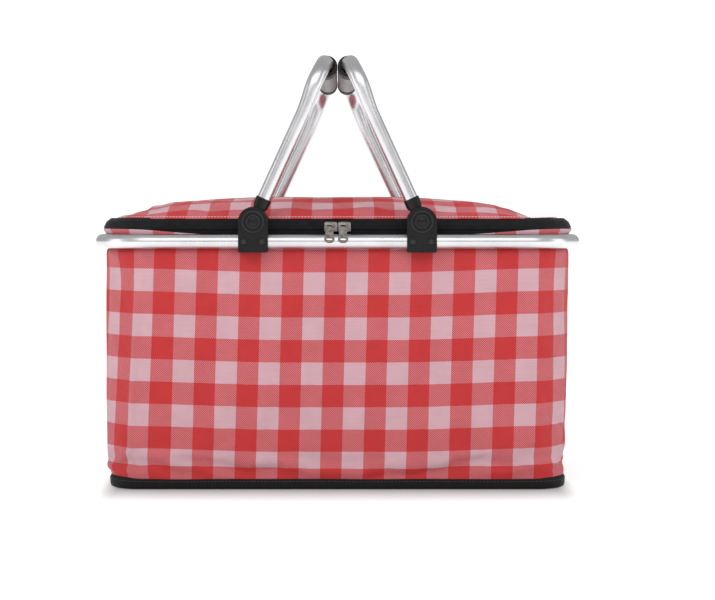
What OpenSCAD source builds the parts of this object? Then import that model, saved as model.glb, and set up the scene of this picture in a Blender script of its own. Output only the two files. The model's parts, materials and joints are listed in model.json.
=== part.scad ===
// Collapsible insulated picnic cooler: a fabric basket hung from an aluminium rim hoop,
// with two swinging bail handles and a zipped, domed lid.
// Origin: centre of the footprint, on the resting surface. X runs along the basket, front is -Y.

/* [Rim hoop] */
// Length over the outside of the rim hoop
rim_l = 480; // [460:1:500]
// Width over the outside of the rim hoop
rim_w = 280; // [260:1:300]
// Diameter of the rim tube
rim_tube_d = 14; // [13:0.5:14]
// Height of the rim tube's centre line above the ground
rim_z = 239; // [230:1:260]
// Outside radius of the hoop's corners
rim_corner_r = 60; // [58:1:66]
// Wall thickness of the aluminium tubes
tube_wall = 1.1; // [0.8:0.1:1.6]

/* [Handles] */
// Distance of each handle pivot from the middle of the basket
pivot_x = 80.5; // [70:0.5:100]
// Height of the pivots above the rim tube's centre line
pivot_rise = 19; // [18.5:0.5:22]
// Distance from a pivot to the axis of the grip bar
handle_l = 168.5; // [150:0.5:180]
// Diameter of the handle tube
handle_d = 13.5; // [12:0.5:13.5]
// Radius of the bends between the legs and the grip bar
bend_r = 30; // [28:1:45]
// Distance from the middle of the basket to each grip bar when the handles lean together
grip_gap_half = 10.6; // [10.5:0.1:16]
// Diameter of the foam grips
grip_d = 20.6; // [18:0.2:20.6]

/* [Brackets] */
// Width of a handle bracket
bracket_w = 28.4; // [26:0.2:30]
// Distance from the rim tube's centre line down to the bottom of a bracket
bracket_drop = 10.3; // [9:0.1:10.4]
// Distance from the bracket's middle to each fixing rivet
rivet_x = 8.7; // [7:0.1:10]
// Radius of the pivot pins
pivot_pin_r = 3; // [2.5:0.1:3.5]

/* [Basket] */
// Half length of the basket at its base
base_a = 222.4; // [215:0.1:224]
// Half width of the basket at its base
base_b = 124.4; // [118:0.1:125]
// Half length of the basket just under the rim
top_a = 229.3; // [222:0.1:231]
// Half width of the basket just under the rim
top_b = 129.3; // [122:0.1:131]
// Thickness of the outer fabric
fabric_t = 1.0; // [0.8:0.1:1.2]
// Thickness of the foam insulation
foam_t = 4.6; // [3:0.1:5]
// Thickness of the foil liner
liner_t = 0.6; // [0.5:0.1:0.8]

/* [Lid and zip] */
// Height of the zip's meeting line above the rim tube's centre line
zip_rise = 13.2; // [12.8:0.1:14]
// Height of the lid's crown above its hem
crown_h = 22; // [16:1:30]
// Width of a zip slider
slider_w = 12.4; // [10:0.2:12.8]
// Length of a pull tab from its pin to its tip
pull_l = 21.5; // [18:0.5:22]

/* [Hidden] */
$fn = 64;
CORNER_STEPS = 8;
eps = 0.01;

// Gaps between parts that move and parts that only lie on each other
free_gap = 0.4;
layer_gap = 0.15;
fit_gap = 0.05;

// Rim hoop, handle and bracket positions
tube_r = rim_tube_d / 2;
line_a = rim_l / 2 - tube_r;
line_b = rim_w / 2 - tube_r;
line_r = rim_corner_r - tube_r;
pivot_z = rim_z + pivot_rise;
lean = asin((pivot_x - grip_gap_half) / handle_l);

// Collar: follows the inside of the hoop; every inset is measured from its outer face
collar_a = line_a - tube_r - 2.6;
collar_b = line_b - tube_r - 2.6;
collar_r = line_r - tube_r - 2.6;
wall_top = rim_z - bracket_drop - 0.7;
collar_bottom = wall_top + free_gap;
zip_z = rim_z + zip_rise;
collar_top = zip_z - 7.8;
zip_rear_y = line_b - line_r;
tape_t = 0.8;
tape_inset = fabric_t + layer_gap + 0.05;

// Floor layers, bottom to top
binding_h = 11;
binding_t = 6;
panel_t = 1.4;
board_t = 3;
wall_bottom = binding_h + 0.3;

// Lid
lid_edge_z = zip_z + 6.9;
hem_z = lid_edge_z + 2.9;
lid_rear_inset = 2.4;
dome_steps = [0, 8, 18, 30, 45, 65, 88, 106];
dome_reach = 45;
lid_b = collar_b - lid_rear_inset / 2;
lid_y = -lid_rear_inset / 2;

// Bracket halves, as distances outward from the tube's centre line
bracket_out = 10.4;
bracket_in = 8.9;
pocket_half = 4.3;
eye_half = 4.0;
eye_r = 11;
bracket_top_r = bracket_w / 2;

// Slider and pull
slider_x = 6.5;
pull_shift = -1.2;
pull_pin_out = 7.8;
pull_pin_rise = 3.8;
pull_pin_r = 1.05;
pull_hang = 34;
pull_t = 1.6;

// ---- shared outlines -----------------------------------------------------------------

// One closed ring of points around a rounded rectangle
function ring(a, b, r, z, y0 = 0) = [
    for (k = [0 : 3], i = [0 : CORNER_STEPS])
        let (t = 90 * k + 90 * i / CORNER_STEPS,
             sx = (k == 0 || k == 3) ? 1 : -1,
             sy = (k < 2) ? 1 : -1)
        [sx * (a - r) + r * cos(t), y0 + sy * (b - r) + r * sin(t), z]
];

// Skin over a stack of rings: capped at both ends, or closed on itself
module loft(rings, loop = false) {
    n = len(rings[0]);
    m = len(rings);
    last = loop ? m - 1 : m - 2;
    sides = [for (i = [0 : last], j = [0 : n - 1])
        let (k = (i + 1) % m, l = (j + 1) % n)
        [i * n + j, k * n + j, k * n + l, i * n + l]];
    caps = loop ? [] : [[for (j = [0 : n - 1]) j], [for (j = [n - 1 : -1 : 0]) (m - 1) * n + j]];
    polyhedron(points = [for (r = rings) each r], faces = concat(sides, caps), convexity = 6);
}

// Rounded rectangle with true arcs
module plate_2d(a, b, r) {
    square([2 * a, 2 * (b - r)], center = true);
    square([2 * (a - r), 2 * b], center = true);
    for (sx = [-1, 1], sy = [-1, 1]) translate([sx * (a - r), sy * (b - r)]) circle(r);
}

module plate(a, b, r, z0, z1) {
    translate([0, 0, z0]) linear_extrude(z1 - z0) plate_2d(a, b, r);
}

// Upright band that follows the collar, from one inset to another
module band(inset0, inset1, z0, z1) {
    translate([0, 0, z0]) linear_extrude(z1 - z0) difference() {
        plate_2d(collar_a - inset0, collar_b - inset0, collar_r - inset0);
        plate_2d(collar_a - inset1, collar_b - inset1, collar_r - inset1);
    }
}

// The part of a band that the zip runs along: the front and both ends
module zipped() {
    intersection() {
        children();
        translate([-rim_l, -rim_w, 0]) cube([2 * rim_l, rim_w + zip_rear_y, 2 * rim_z]);
    }
}

// The part behind the zip's ends
module unzipped() {
    intersection() {
        children();
        translate([-rim_l, zip_rear_y + free_gap, 0]) cube([2 * rim_l, rim_w, 2 * rim_z]);
    }
}

// ---- floor and walls -----------------------------------------------------------------

module bottom_panel() {
    color("#1f1d1e") plate(base_a - 4.6, base_b - 4.6, 26, 0, panel_t);
}

module bottom_binding() {
    out = 1.4;
    profile = [[2.6, 0], [0.6, 1.6], [0, 4], [0, 7], [0.6, 9.4], [2.6, binding_h],
               [binding_t - 0.4, binding_h], [binding_t - 0.2, 0]];
    color("#1a191a") loft([for (p = profile)
        ring(base_a + out - p[0], base_b + out - p[0], 30 - p[0], p[1])], loop = true);
}

module floor_layer(z0, z1) {
    plate(base_a - 5.4, base_b - 5.4, 22, z0, z1);
}

module base_board() {
    color("#6f655a") floor_layer(panel_t + layer_gap, panel_t + board_t);
}

module floor_insulation() {
    color("white") floor_layer(panel_t + board_t + layer_gap, wall_bottom - 1);
}

module floor_liner() {
    color("#c9ccd0") floor_layer(wall_bottom - 1 + layer_gap, wall_bottom - layer_gap);
}

// Tapered wall layer between two insets from the outer face
module wall_layer(inset0, inset1) {
    loft([ring(base_a - inset0, base_b - inset0, 31 - inset0, wall_bottom),
          ring(top_a - inset0, top_b - inset0, 48 - inset0, wall_top),
          ring(top_a - inset1, top_b - inset1, 48 - inset1, wall_top),
          ring(base_a - inset1, base_b - inset1, 31 - inset1, wall_bottom)], loop = true);
}

foam_in = fabric_t + layer_gap;
liner_in = foam_in + foam_t + layer_gap;

module wall_outer() { color("#d4696e") wall_layer(0, fabric_t); }
module wall_insulation() { color("white") wall_layer(foam_in, foam_in + foam_t); }
module wall_liner() { color("#c9ccd0") wall_layer(liner_in, liner_in + liner_t); }

// ---- rim hoop ------------------------------------------------------------------------

// Straight and curved lengths of one radius, along the hoop's centre line
module hoop(r) {
    straight_x = 2 * (line_a - line_r);
    straight_y = 2 * (line_b - line_r);
    for (s = [-1, 1]) {
        translate([-straight_x / 2, s * line_b, rim_z]) rotate([0, 90, 0]) cylinder(h = straight_x, r = r);
        translate([s * line_a, straight_y / 2, rim_z]) rotate([90, 0, 0]) cylinder(h = straight_y, r = r);
    }
    for (k = [0 : 3])
        translate([(k == 0 || k == 3 ? 1 : -1) * straight_x / 2, (k < 2 ? 1 : -1) * straight_y / 2, rim_z])
            rotate([0, 0, 90 * k]) rotate_extrude(angle = 90) translate([line_r, 0]) circle(r);
}

// The hoop's two ends meet inside the rear right bracket, on an internal spigot
joint_gap = 0.6;

module rim_tube() {
    color("#d9dadb") difference() {
        hoop(tube_r);
        hoop(tube_r - tube_wall);
        translate([pivot_x - joint_gap / 2, line_b - rim_tube_d, rim_z - rim_tube_d])
            cube([joint_gap, 2 * rim_tube_d, 2 * rim_tube_d]);
        rivet_shanks(rivet_r + fit_gap);
    }
}

module rim_spigot() {
    length = 50;
    color("#b7b9bb") difference() {
        translate([pivot_x - length / 2, line_b, rim_z]) rotate([0, 90, 0])
            cylinder(h = length, r = tube_r - tube_wall - fit_gap);
        rivet_shanks(rivet_r + fit_gap);
    }
}

// ---- collar between the walls and the zip --------------------------------------------

module collar_outer() { color("#d4696e") band(0, fabric_t, collar_bottom, collar_top); }

module collar_insulation() {
    color("white") band(tape_inset + tape_t + layer_gap, tape_inset + tape_t + foam_t - 0.4,
                        collar_bottom, collar_top);
}

module collar_liner() {
    inset = tape_inset + tape_t + foam_t - 0.4 + layer_gap;
    color("#c9ccd0") band(inset, inset + liner_t, collar_bottom, collar_top + 2);
}

// Fabric behind the zip's ends: the lid folds along its top edge
module hinge_flap() {
    color("#d4696e") unzipped() band(0, fabric_t, collar_top + layer_gap, lid_edge_z - 0.3);
}

module zip_tape_lower() {
    color("#1c1c1e") zipped() band(tape_inset, tape_inset + tape_t, collar_top - 3, zip_z - 0.2);
}

module zip_coil_lower() {
    color("#141415") zipped() band(0.1, tape_inset - 0.1, zip_z - 1.7, zip_z - 0.2);
}

// ---- handle brackets -----------------------------------------------------------------

rivet_r = 1.5;
rivet_head_r = 2.3;
rivet_head_h = 0.9;

// Runs its children at each of the four brackets, turned so that their own -Y faces outward
module at_brackets() {
    for (sx = [-1, 1], sy = [-1, 1]) at_bracket(sx, sy) children();
}

module at_bracket(sx, sy) {
    translate([sx * pivot_x, sy * line_b, rim_z]) rotate([0, 0, sy > 0 ? 180 : 0]) children();
}

// Cylinder that lies along Y, between two distances
module along_y(r, y0, y1) {
    translate([0, y1, 0]) rotate([90, 0, 0]) cylinder(h = y1 - y0, r = r);
}

module rivet_shanks(r) {
    at_brackets() for (s = [-1, 1]) translate([s * rivet_x, 0, 0]) along_y(r, -bracket_out, bracket_in);
}

// Upright plate with a round top centred on the pivot
module tombstone(y0, y1) {
    foot_r = 2;
    translate([0, y1, 0]) rotate([90, 0, 0]) linear_extrude(y1 - y0) {
        translate([0, pivot_rise]) circle(bracket_top_r);
        translate([-bracket_top_r, foot_r - bracket_drop])
            square([bracket_w, bracket_drop - foot_r + pivot_rise]);
        translate([foot_r - bracket_top_r, -bracket_drop]) square([bracket_w - 2 * foot_r, foot_r + 1]);
        for (s = [-1, 1]) translate([s * (bracket_top_r - foot_r), foot_r - bracket_drop]) circle(foot_r);
    }
}

// What both bracket halves are cut by: the rim tube, the knuckle's pocket, pin and rivets
module bracket_cuts() {
    rotate([0, 90, 0]) cylinder(h = 2 * bracket_w, r = tube_r + fit_gap, center = true);
    translate([-bracket_w, -pocket_half, pivot_rise - eye_r - 0.6])
        cube([2 * bracket_w, 2 * pocket_half, 2 * eye_r + bracket_w]);
    translate([0, 0, pivot_rise]) along_y(pivot_pin_r + fit_gap, -bracket_out - 5, bracket_in + 5);
    for (s = [-1, 1]) translate([s * rivet_x, 0, 0])
        along_y(rivet_r + fit_gap, -bracket_out - 5, bracket_in + 5);
}

module bracket_half() {
    color("#202022") difference() {
        tombstone(0.05, bracket_in);
        bracket_cuts();
    }
}

// Outer half, with raised rings round the pivot
module cover_half() {
    face = -bracket_out + 1.2;
    color("#1b1b1d") difference() {
        union() {
            tombstone(face, -0.05);
            translate([0, 0, pivot_rise]) difference() {
                along_y(10.6, face - 0.7, face + eps);
                along_y(8.8, face - 1, face);
            }
            translate([0, 0, pivot_rise]) along_y(6.6, face - 0.5, face + eps);
        }
        bracket_cuts();
    }
}

module pivot_pins() {
    head_r = 4.2;
    color("#2a2a2c") at_brackets() translate([0, 0, pivot_rise]) {
        along_y(pivot_pin_r, -bracket_out + 0.75, bracket_in - 0.3);
        translate([0, -bracket_out + 0.7 - layer_gap, 0]) rotate([90, 0, 0]) intersection() {
            translate([0, 0, -9.5]) sphere(10.4);
            cylinder(h = 1.2, r = head_r);
        }
        along_y(pivot_pin_r, -bracket_out + 0.5, -bracket_out + 0.8);
    }
}

module bracket_rivets() {
    face = -bracket_out + 1.2 - layer_gap;
    color("#3a3a3c") at_brackets() for (s = [-1, 1]) translate([s * rivet_x, 0, 0]) {
        along_y(rivet_r, face, bracket_in - 0.3);
        along_y(rivet_head_r, face - rivet_head_h, face);
    }
}

// ---- handles -------------------------------------------------------------------------

knuckle_foot = bracket_top_r + 0.5;
ferrule_top = 24.5;
tube_foot = 18.6;

// Places its children in a handle's own frame: pivot at the origin, legs along +Z
module at_handle(side) {
    translate([side * pivot_x, 0, pivot_z]) rotate([0, -side * lean, 0]) children();
}

// Legs, bends and grip bar at one radius
module bail(r, foot) {
    leg = handle_l - bend_r - foot;
    bar = 2 * (line_b - bend_r);
    for (s = [-1, 1]) {
        translate([0, s * line_b, foot]) cylinder(h = leg, r = r);
        translate([0, s * (line_b - bend_r), handle_l - bend_r]) rotate([0, 0, s > 0 ? 0 : 180])
            rotate([90, 0, 90]) rotate_extrude(angle = 90) translate([bend_r, 0]) circle(r);
    }
    translate([0, 0, handle_l]) along_y(r, -bar / 2, bar / 2);
}

module handle_tube(side) {
    color("#d9dadb") at_handle(side) difference() {
        bail(handle_d / 2, tube_foot);
        bail(handle_d / 2 - tube_wall, tube_foot - 1);
    }
}

module handle_grip(side) {
    half = line_b - bend_r - 6;
    color("#161617") at_handle(side) translate([0, 0, handle_l]) difference() {
        along_y(grip_d / 2, -half, half);
        along_y(handle_d / 2 + fit_gap, -half - 1, half + 1);
    }
}

// Moulded end of a leg: an eye on the pivot pin, a stepped ferrule and a plug inside the tube
module knuckle(side, end) {
    color("#202022") at_handle(side) translate([0, end * line_b, 0]) difference() {
        union() {
            along_y(eye_r, -eye_half, eye_half);
            translate([-6, -eye_half, 0]) cube([12, 2 * eye_half, knuckle_foot + 2]);
            translate([0, 0, knuckle_foot]) cylinder(h = 2.4, r = 7.2);
            translate([0, 0, knuckle_foot + 1.8]) cylinder(h = ferrule_top - knuckle_foot - 1.8, r = 7.7);
            translate([0, 0, tube_foot]) cylinder(h = 14, r = handle_d / 2 - tube_wall - fit_gap);
        }
        along_y(pivot_pin_r + fit_gap, -eye_half - 1, eye_half + 1);
        translate([0, 0, tube_foot - fit_gap]) difference() {
            cylinder(h = ferrule_top, r = handle_d / 2 + fit_gap);
            cylinder(h = 14 + fit_gap, r = handle_d / 2 - tube_wall - fit_gap);
        }
    }
}

// ---- lid -----------------------------------------------------------------------------

// Rise of the lid's surface at a distance in from its hem
function dome(d) = hem_z + crown_h * (1 - exp(-d / dome_reach)) / (1 - exp(-max(dome_steps) / dome_reach));

// Ring of the lid's surface: corners grow rounder towards the crown
function lid_ring(d, inset, z) = ring(collar_a - inset - d, lid_b - inset - d,
    min(collar_r - inset + 0.12 * d, lid_b - inset - d - eps), z, lid_y);

module lid_outer() {
    color("#d4696e") difference() {
        loft(concat([lid_ring(0, 0, lid_edge_z)], [for (d = dome_steps) lid_ring(d, 0, dome(d))]));
        loft(concat([lid_ring(0, fabric_t, lid_edge_z - 1)],
                    [for (d = dome_steps) lid_ring(d, fabric_t, dome(d) - fabric_t)]));
    }
}

lid_foam_in = tape_inset + tape_t + 0.3;
lid_foam_z = lid_edge_z + 0.9;

module lid_insulation() {
    color("white") difference() {
        loft(concat([lid_ring(0, lid_foam_in, lid_foam_z)],
                    [for (d = dome_steps) lid_ring(d, lid_foam_in, dome(d) - fabric_t - 0.4)]));
        loft(concat([lid_ring(0, lid_foam_in + 6, lid_foam_z - 1)],
                    [for (d = dome_steps) lid_ring(d, lid_foam_in + 6, dome(d) - fabric_t - foam_t)]));
    }
}

module lid_liner() {
    color("#c9ccd0") difference() {
        loft([lid_ring(0, lid_foam_in, lid_edge_z), lid_ring(0, lid_foam_in, lid_foam_z - layer_gap)]);
        loft([lid_ring(0, lid_foam_in + 6, lid_edge_z + liner_t), lid_ring(0, lid_foam_in + 6, lid_foam_z)]);
    }
}

module zip_tape_upper() {
    color("#1c1c1e") zipped() band(tape_inset, tape_inset + tape_t, zip_z + 0.2, hem_z - 1.8);
}

module zip_coil_upper() {
    color("#141415") zipped() band(0.1, tape_inset - 0.1, zip_z + 0.2, zip_z + 1.7);
}

// ---- zip sliders and pulls -----------------------------------------------------------

crown_half = 2.1;
ear_t = 1.4;
ear_r = 2.2;

// Places its children on a slider: origin on the zip's meeting line, at the coil's front face
module at_slider(side) {
    translate([side * slider_x, -collar_b + 0.1, zip_z]) children();
}

module slider(side) {
    plate_back = -0.5;
    plate_t = 2.8;
    color("#9b938d") at_slider(side) difference() {
        union() {
            translate([0, plate_back, 1]) rotate([90, 0, 0]) linear_extrude(plate_t) {
                square([slider_w, 6], center = true);
                square([slider_w - 3, 9], center = true);
                for (sx = [-1, 1], sz = [-1, 1])
                    translate([sx * (slider_w / 2 - 1.5), sz * 3]) circle(1.5);
            }
            translate([-slider_w / 2, plate_back - 1, -3.4]) cube([slider_w, 1.7, 1.2]);
            translate([pull_shift - crown_half, -pull_pin_out, pull_pin_rise - ear_r])
                cube([2 * crown_half, pull_pin_out + plate_back - 1, 2 * ear_r]);
            translate([pull_shift - crown_half, -pull_pin_out, pull_pin_rise]) rotate([0, 90, 0])
                cylinder(h = 2 * crown_half, r = ear_r);
        }
        translate([0, -pull_pin_out, pull_pin_rise]) rotate([0, 90, 0])
            cylinder(h = 3 * slider_w, r = pull_pin_r + fit_gap, center = true);
    }
}

module pull(side) {
    ear_x = crown_half + 0.35;
    neck = 3.6;
    head = ear_x + ear_t;
    color("#a29a94") at_slider(side) translate([pull_shift, -pull_pin_out, pull_pin_rise])
        rotate([-pull_hang, 0, 0]) {
            rotate([0, 90, 0]) cylinder(h = 2 * head, r = pull_pin_r, center = true);
            for (s = [-1, 1]) translate([s * (ear_x + ear_t / 2), 0, 0]) {
                rotate([0, 90, 0]) cylinder(h = ear_t, r = ear_r, center = true);
                translate([-ear_t / 2, -pull_t / 2, -neck - 1]) cube([ear_t, pull_t, neck + 1]);
            }
            translate([0, pull_t / 2, 0]) rotate([90, 0, 0]) linear_extrude(pull_t) difference() {
                union() {
                    translate([-head, -neck - 9]) square([2 * head, 9]);
                    translate([-head + 0.4, -pull_l + 4.4]) square([2 * head - 0.8, 6]);
                    for (s = [-1, 1]) translate([s * 0.7, -pull_l + 4.2]) circle(4.2);
                }
                translate([-1.5, -pull_l + 2.5]) square([3, 3.2]);
                for (s = [-1, 1]) translate([s * 1.5, -pull_l + 4.1]) circle(1.6);
            }
        }
}

// ---- assembly ------------------------------------------------------------------------

bottom_panel();
bottom_binding();
base_board();
floor_insulation();
floor_liner();
wall_outer();
wall_insulation();
wall_liner();
rim_tube();
rim_spigot();
collar_outer();
collar_insulation();
collar_liner();
hinge_flap();
zip_tape_lower();
zip_coil_lower();
at_bracket(-1, -1) bracket_half();  // bracket_front_left
at_bracket(1, -1) bracket_half();  // bracket_front_right
at_bracket(-1, 1) bracket_half();  // bracket_rear_left
at_bracket(1, 1) bracket_half();  // bracket_rear_right
at_bracket(-1, -1) cover_half();  // cover_front_left
at_bracket(1, -1) cover_half();  // cover_front_right
at_bracket(-1, 1) cover_half();  // cover_rear_left
at_bracket(1, 1) cover_half();  // cover_rear_right
pivot_pins();
bracket_rivets();
lid_outer();
lid_insulation();
lid_liner();
zip_tape_upper();
zip_coil_upper();
handle_tube(-1);  // handle_left_tube
handle_grip(-1);  // handle_left_grip
knuckle(-1, -1);  // knuckle_front_left
knuckle(-1, 1);  // knuckle_rear_left
handle_tube(1);  // handle_right_tube
handle_grip(1);  // handle_right_grip
knuckle(1, -1);  // knuckle_front_right
knuckle(1, 1);  // knuckle_rear_right
slider(-1);  // slider_left
slider(1);  // slider_right
pull(-1);  // pull_left
pull(1);  // pull_right
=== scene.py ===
import json
import math

import bmesh
import bpy
import numpy as np
from mathutils import Matrix, Vector, noise


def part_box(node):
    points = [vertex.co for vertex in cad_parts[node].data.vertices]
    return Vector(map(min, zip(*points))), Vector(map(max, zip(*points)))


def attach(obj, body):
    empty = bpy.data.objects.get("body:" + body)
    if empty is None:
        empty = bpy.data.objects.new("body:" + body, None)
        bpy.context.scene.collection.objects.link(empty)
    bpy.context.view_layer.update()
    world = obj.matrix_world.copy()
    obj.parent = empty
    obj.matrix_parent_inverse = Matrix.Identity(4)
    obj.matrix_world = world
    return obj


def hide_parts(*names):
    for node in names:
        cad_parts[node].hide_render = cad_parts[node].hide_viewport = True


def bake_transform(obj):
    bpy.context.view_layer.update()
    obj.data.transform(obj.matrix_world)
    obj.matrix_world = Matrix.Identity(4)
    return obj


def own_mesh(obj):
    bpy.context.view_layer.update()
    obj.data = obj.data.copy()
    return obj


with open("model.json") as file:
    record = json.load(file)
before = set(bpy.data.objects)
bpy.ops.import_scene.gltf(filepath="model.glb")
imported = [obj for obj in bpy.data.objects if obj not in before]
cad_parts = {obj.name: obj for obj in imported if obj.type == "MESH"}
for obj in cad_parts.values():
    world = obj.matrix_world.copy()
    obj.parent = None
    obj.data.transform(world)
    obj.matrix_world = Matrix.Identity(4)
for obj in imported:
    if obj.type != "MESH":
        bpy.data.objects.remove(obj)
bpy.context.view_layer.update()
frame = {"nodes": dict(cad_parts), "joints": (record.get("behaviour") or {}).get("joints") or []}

# ---- places worked out from the frame ----

MM = 0.001


def foot(node):
    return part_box(node)[0]


def top(node):
    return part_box(node)[1]


def mid(node):
    return (foot(node) + top(node)) / 2


# Outlines are rounded rectangles: half length a, half width b and corner radius r
TUBE_R = (top("rim_tube").z - foot("rim_tube").z) / 2
RIM = {"a": top("rim_tube").x - TUBE_R, "b": top("rim_tube").y - TUBE_R, "r": 53 * MM}
RIM_Z = mid("rim_tube").z
WALL_BASE = {"a": 222.4 * MM, "b": 124.4 * MM, "r": 31 * MM}
WALL_TOP = {"a": top("wall_outer").x, "b": top("wall_outer").y, "r": 48 * MM}
WALL_Z0 = foot("wall_outer").z
WALL_Z1 = top("wall_outer").z
LINER_IN = WALL_TOP["a"] - top("wall_liner").x
COLLAR = {"a": top("collar_outer").x, "b": top("collar_outer").y}
COLLAR["r"] = RIM["r"] - (RIM["a"] - COLLAR["a"])
COLLAR_Z0 = foot("collar_outer").z
COLLAR_Z1 = top("collar_outer").z
COLLAR_LINER_IN = COLLAR["a"] - top("collar_liner").x
TAPE_IN = COLLAR["a"] - top("zip_tape_upper").x
ZIP_Z = (top("zip_coil_lower").z + foot("zip_coil_upper").z) / 2
ZIP_END_Y = top("zip_coil_lower").y
LID_LOW, LID_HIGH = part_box("lid_outer")
# How far the fabric's hem is drawn in at the basket's ends
LID_DRAW = 5.0 * MM
LID_A = LID_HIGH.x - LID_DRAW
LID_B = (LID_HIGH.y - LID_LOW.y) / 2
LID_Y = (LID_HIGH.y + LID_LOW.y) / 2
HEM_Z = LID_LOW.z + 2.9 * MM
BINDING_HIGH = top("bottom_binding")
COLLAPSE = next(j for j in frame["joints"] if j["name"] == "collapse")
SLIDE_TRAVEL = max(abs(x) for x in COLLAPSE["range_m"])

# Handles: pivots, grips, tube, bends, the tube's start above the pivot, and the rivets' heads
PIVOT_X = mid("bracket_front_right").x
PIVOT_Z = mid("pivot_pins").z
GRIP_X = mid("handle_right_grip").x
GRIP_Z = mid("handle_right_grip").z
GRIP_R = (top("handle_right_grip").x - foot("handle_right_grip").x) / 2
GRIP_HALF = top("handle_right_grip").y
HANDLE_R = 6.75 * MM
BEND_R = 30 * MM
FERRULE = 18.6 * MM
RIVET_HEAD = 2.3 * MM
RIVET_X = top("bracket_rivets").x - PIVOT_X - RIVET_HEAD

# Gingham: size of one square, and the place of one edge of each kind
SQUARE_U = 20.6 * MM
SQUARE_V = 21.46 * MM
COLUMN_EDGE = -13.2 * MM
ROW_EDGE = 192.1 * MM
LID_COLUMN = -4.7 * MM
LID_STRETCH = 1.02
# Cloth between the lid's first row of squares and the fold of its hem
HEM_TURN = 2.2 * MM
# How far the weave leans along the walls, and the height at which it crosses its own place
WEAVE_LEAN = 0.026
LEAN_Z = 158 * MM
YARN = SQUARE_U / 20

# Camera: distance and height in metres, and its focal length, frame and shift in pixels
CAMERA_DISTANCE = 1.453
CAMERA_HEIGHT = 0.2549
FOCAL_PX = 1378.0
FRAME_PX = 715.0
SHIFT_PX = (20.0, -75.0)
SENSOR = 36.0

# ---- meshes ----


def lerp(a, b, t):
    return a + (b - a) * t


def ramp(x, low, high):
    """0 below low, 1 above high and smooth between them; low may be the greater."""
    t = min(max((x - low) / (high - low), 0.0), 1.0)
    return t * t * (3 - 2 * t)


def ramp_mm(x, low, high):
    return ramp(x, low * MM, high * MM)


def smooth(mesh):
    mesh.polygons.foreach_set("use_smooth", [True] * len(mesh.polygons))


def piece(name, points, faces):
    mesh = bpy.data.meshes.new(name)
    mesh.from_pydata([tuple(p) for p in points], [], faces)
    mesh.update()
    smooth(mesh)
    obj = bpy.data.objects.new(name, mesh)
    bpy.context.scene.collection.objects.link(obj)
    return obj


def set_uv(obj, corners):
    layer = obj.data.uv_layers.get("cloth") or obj.data.uv_layers.new(name="cloth")
    layer.data.foreach_set("uv", np.array(corners, np.float32).ravel())


def lay_cloth(obj, place):
    """Cloth coordinates in metres, from place(point)."""
    where = [place(v.co) for v in obj.data.vertices]
    set_uv(obj, [where[loop.vertex_index] for loop in obj.data.loops])
    return obj


def circle(sides):
    """Cosine and sine at each step round a circle."""
    angles = [2 * math.pi * k / sides for k in range(sides)]
    return [(math.cos(a), math.sin(a)) for a in angles]


def sheet(name, n_x, n_y, place):
    """Open sheet through place(s, t), with s and t from -1 to 1."""
    row = n_x + 1
    points = [place(2 * i / n_x - 1, 2 * j / n_y - 1) for j in range(n_y + 1) for i in range(row)]
    corners = [j * row + i for j in range(n_y) for i in range(n_x)]
    return piece(name, points, [(c, c + 1, c + row + 1, c + row) for c in corners])


def grid(name, rows, us, vs, closed=True):
    """Sheet over rows of points. Its corners lie on the cloth at us[j] or us[i][j], and vs[i] or vs[i][j]."""
    rows = np.array(rows, float)
    n_v, n_u = rows.shape[:2]
    us, vs = np.array(us, float), np.array(vs, float)
    if us.ndim == 1:
        us = np.repeat(us[None, :], n_v, axis=0)
    if vs.ndim == 1:
        vs = np.repeat(vs[:, None], n_u + 1, axis=1)
    faces, corners = [], []
    for i in range(n_v - 1):
        for j in range(n_u if closed else n_u - 1):
            k = (j + 1) % n_u
            faces.append((i * n_u + j, i * n_u + k, (i + 1) * n_u + k, (i + 1) * n_u + j))
            corners += [(us[i][j], vs[i][j]), (us[i][j + 1], vs[i][j + 1])]
            corners += [(us[i + 1][j + 1], vs[i + 1][j + 1]), (us[i + 1][j], vs[i + 1][j])]
    obj = piece(name, rows.reshape(-1, 3), faces)
    set_uv(obj, corners)
    return obj


def rounded(seg, f, a, b, r):
    """Point and outward normal on a rounded rectangle. Segments run from the middle of the rear,
    past the left end, the front and the right end: even ones are straight, odd ones are corners."""
    ends = [(0, b), (r - a, b), (-a, b - r), (-a, r - b), (r - a, -b), (a - r, -b), (a, r - b), (a, b - r),
            (a - r, b), (0, b)]
    if seg % 2 == 0:
        (x0, y0), (x1, y1) = ends[seg], ends[seg + 1]
        normal = [(0, 1), (-1, 0), (0, -1), (1, 0), (0, 1)][seg // 2]
        return (x0 + (x1 - x0) * f, y0 + (y1 - y0) * f), normal
    angle = math.radians(90 * (seg // 2 + 1 + f))
    sx, sy = [(-1, 1), (-1, -1), (1, -1), (1, 1)][seg // 2]
    normal = (math.cos(angle), math.sin(angle))
    return (sx * (a - r) + r * normal[0], sy * (b - r) + r * normal[1]), normal


def stations(shape, step, first=0, last=8, corner_step=None, closed=True):
    """(segment, fraction) round a rounded rectangle, about step millimetres apart."""
    a, b, r = shape["a"], shape["b"], shape["r"]
    arc = r * math.pi / 2
    lengths = [a - r, arc, 2 * (b - r), arc, 2 * (a - r), arc, 2 * (b - r), arc, a - r]
    found = []
    for seg in range(first, last + 1):
        size = corner_step if corner_step and seg % 2 else step
        count = max(2, round(lengths[seg] / (size * MM)))
        found += [(seg, i / count) for i in range(count)]
    return found if closed else found + [(last, 1.0)]


def arc_lengths(shape, marks, closed=True):
    """Distance of each station from the middle of the front, measured along the outline."""
    points = [rounded(s, f, **shape)[0] for s, f in marks]
    if closed:
        points.append(points[0])
    total = [0.0]
    for p, q in zip(points, points[1:]):
        total.append(total[-1] + math.dist(p, q))
    front = min(range(len(marks)), key=lambda i: abs(points[i][0]) + (0 if points[i][1] < 0 else 9))
    return [t - total[front] + points[front][0] for t in total]


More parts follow.
